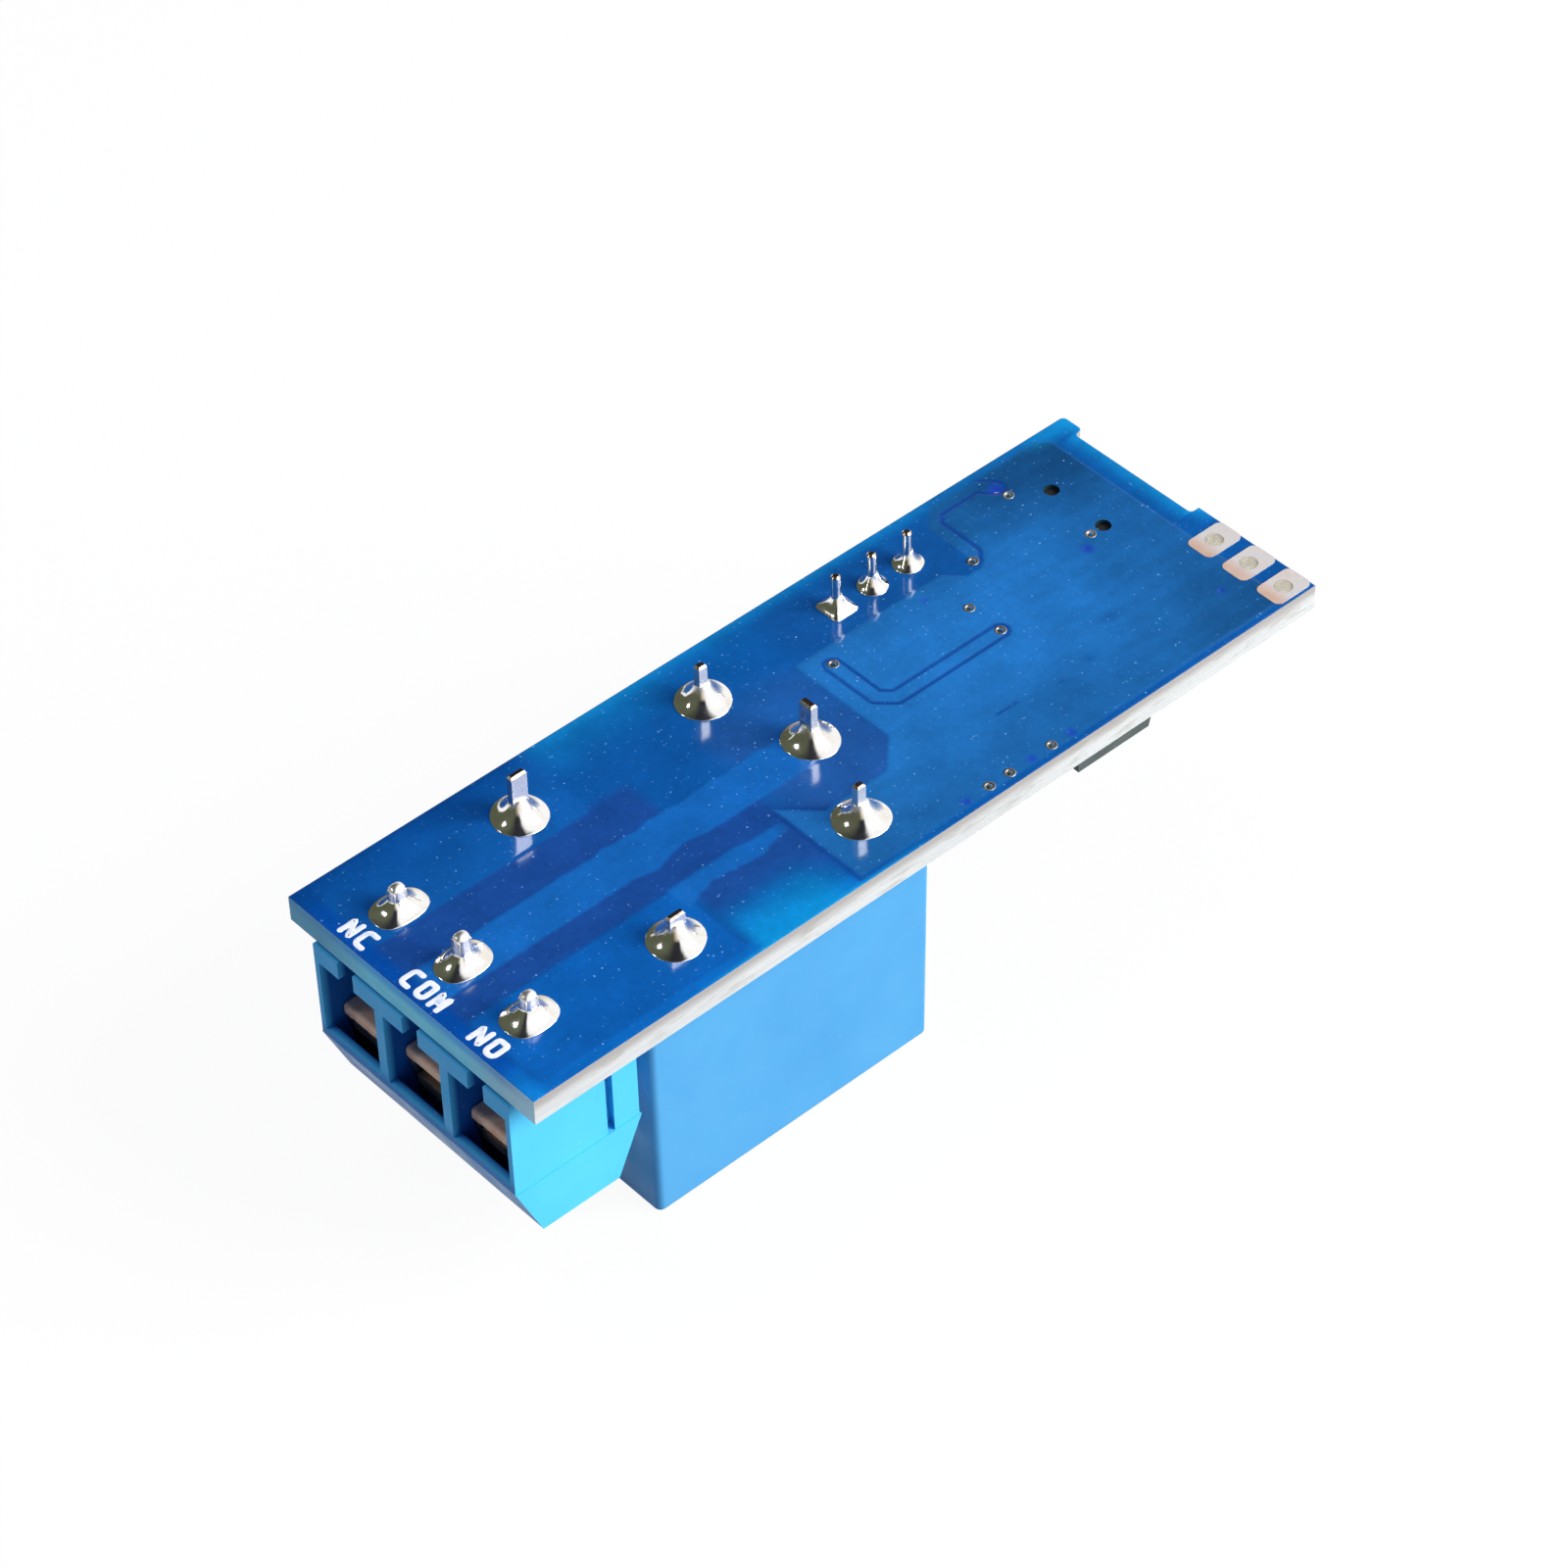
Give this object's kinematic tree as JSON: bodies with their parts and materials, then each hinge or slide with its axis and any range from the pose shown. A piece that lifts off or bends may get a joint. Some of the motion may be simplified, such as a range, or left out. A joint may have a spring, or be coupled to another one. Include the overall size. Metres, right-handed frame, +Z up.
{
  "type": "relay module board",
  "caption": "Slim blue relay circuit board resting solder side up on its relay, with screw terminal, edge pads, trimmer and socket.",
  "frame": {"origin": "under the middle of the board, in the plane of the relay's flat face that it rests on", "axes": "+X from the screw terminal to the socket, +Z up out of the solder side, +Y to the trimmer's edge"},
  "size_m": [0.054, 0.019, 0.0196],
  "materials": {
    "board": "glossy blue solder mask on glass-fibre laminate",
    "pad_copper": "bare tinned copper",
    "solder": "bright solder",
    "relay_blue": "satin blue moulding",
    "relay_base": "matte blue moulding",
    "bobbin_white": "natural moulding",
    "winding": "enamelled copper wire",
    "plated_iron": "plated iron",
    "spring_copper": "spring copper",
    "contact_silver": "silver alloy",
    "strip_brass": "tinned brass strip",
    "tinned_pin": "tinned wire",
    "terminal_blue": "glossy light blue moulding",
    "cage_brass": "plain folded strip",
    "screw_steel": "zinc-plated steel",
    "terminal_tin": "tinned strip",
    "trimmer_blue": "matte blue moulding",
    "adjuster_brass": "turned brass",
    "shell_steel": "nickel-plated sheet steel",
    "insulator_black": "black moulding",
    "gold_contacts": "gold-plated strip",
    "chip_black": "dark epoxy moulding",
    "resistor": "black film on ceramic with tinned ends",
    "capacitor": "tan ceramic with tinned ends",
    "lamp": "clear lens on a white chip"
  },
  "bodies": {
    "module": {"board": "board", "capacitor_1": "capacitor", "capacitor_2": "capacitor", "chip_body": "chip_black", "chip_leads": "tinned_pin", "diode": "chip_black", "edge_pad_1": "pad_copper", "edge_pad_2": "pad_copper", "edge_pad_3": "pad_copper", "lamp_power": "lamp", "lamp_relay": "lamp", "relay_base": "relay_base", "relay_bobbin": "bobbin_white", "relay_closed_terminal": "strip_brass", "relay_coil_pin_1": "tinned_pin", "relay_coil_pin_2": "tinned_pin", "relay_core": "plated_iron", "relay_cover": "relay_blue", "relay_open_terminal": "strip_brass", "relay_return_spring": "spring_copper", "relay_solder": "solder", "relay_winding": "winding", "relay_yoke": "plated_iron", "resistor_1": "resistor", "resistor_2": "resistor", "resistor_3": "resistor", "resistor_4": "resistor", "resistor_5": "resistor", "socket_contacts": "gold_contacts", "socket_insulator": "insulator_black", "socket_shell": "shell_steel", "terminal_contact_1": "terminal_tin", "terminal_contact_2": "terminal_tin", "terminal_contact_3": "terminal_tin", "terminal_housing": "terminal_blue", "terminal_solder": "solder", "transistor": "chip_black", "trimmer_body": "trimmer_blue", "trimmer_pin_1": "tinned_pin", "trimmer_pin_2": "tinned_pin", "trimmer_pin_3": "tinned_pin", "trimmer_solder": "solder"},
    "clamp_screw_1": {"terminal_screw_1": "screw_steel"},
    "clamp_cage_1": {"terminal_cage_1": "cage_brass"},
    "clamp_screw_2": {"terminal_screw_2": "screw_steel"},
    "clamp_cage_2": {"terminal_cage_2": "cage_brass"},
    "clamp_screw_3": {"terminal_screw_3": "screw_steel"},
    "clamp_cage_3": {"terminal_cage_3": "cage_brass"},
    "adjuster": {"trimmer_screw": "adjuster_brass"},
    "armature": {"relay_armature": "plated_iron", "relay_leaf": "spring_copper", "relay_moving_contact": "contact_silver"}
  },
  "joints": [
    {"name": "clamp_1_turn", "type": "hinge", "parent": "module", "child": "clamp_screw_1", "pos_m": [-0.02342, -0.00506, 0.0052], "axis": [0, 0, 1], "range_deg": [-1022.6, 237.7]},
    {"name": "clamp_1_rise", "type": "slide", "parent": "module", "child": "clamp_cage_1", "axis": [0, 0, -1], "range_m": [-0.00142, 0.00033]},
    {"name": "clamp_2_turn", "type": "hinge", "parent": "module", "child": "clamp_screw_2", "pos_m": [-0.02342, 0, 0.0052], "axis": [0, 0, 1], "range_deg": [-626.5, 633.7]},
    {"name": "clamp_2_rise", "type": "slide", "parent": "module", "child": "clamp_cage_2", "axis": [0, 0, -1], "range_m": [-0.00087, 0.00088]},
    {"name": "clamp_3_turn", "type": "hinge", "parent": "module", "child": "clamp_screw_3", "pos_m": [-0.02342, 0.00506, 0.0052], "axis": [0, 0, 1], "range_deg": [-1202.5, 57.7]},
    {"name": "clamp_3_rise", "type": "slide", "parent": "module", "child": "clamp_cage_3", "axis": [0, 0, -1], "range_m": [-0.00167, 0.00008]},
    {"name": "trimmer_turn", "type": "hinge", "parent": "module", "child": "adjuster", "pos_m": [0.00649, 0.00653, 0.005], "axis": [0, 0, 1], "continuous": true},
    {"name": "armature_swing", "type": "hinge", "parent": "module", "child": "armature", "pos_m": [-0.00076, 0, 0.00392], "axis": [0, 1, 0], "range_deg": [0, 1.9], "stiffness_Nm_per_rad": 0.01, "springref_deg": -5.73}
  ],
  "couplings": [
    {"joint": "clamp_1_turn", "follows": "clamp_1_rise", "rad_per_m": 12566},
    {"joint": "clamp_2_turn", "follows": "clamp_2_rise", "rad_per_m": 12566},
    {"joint": "clamp_3_turn", "follows": "clamp_3_rise", "rad_per_m": 12566}
  ]
}
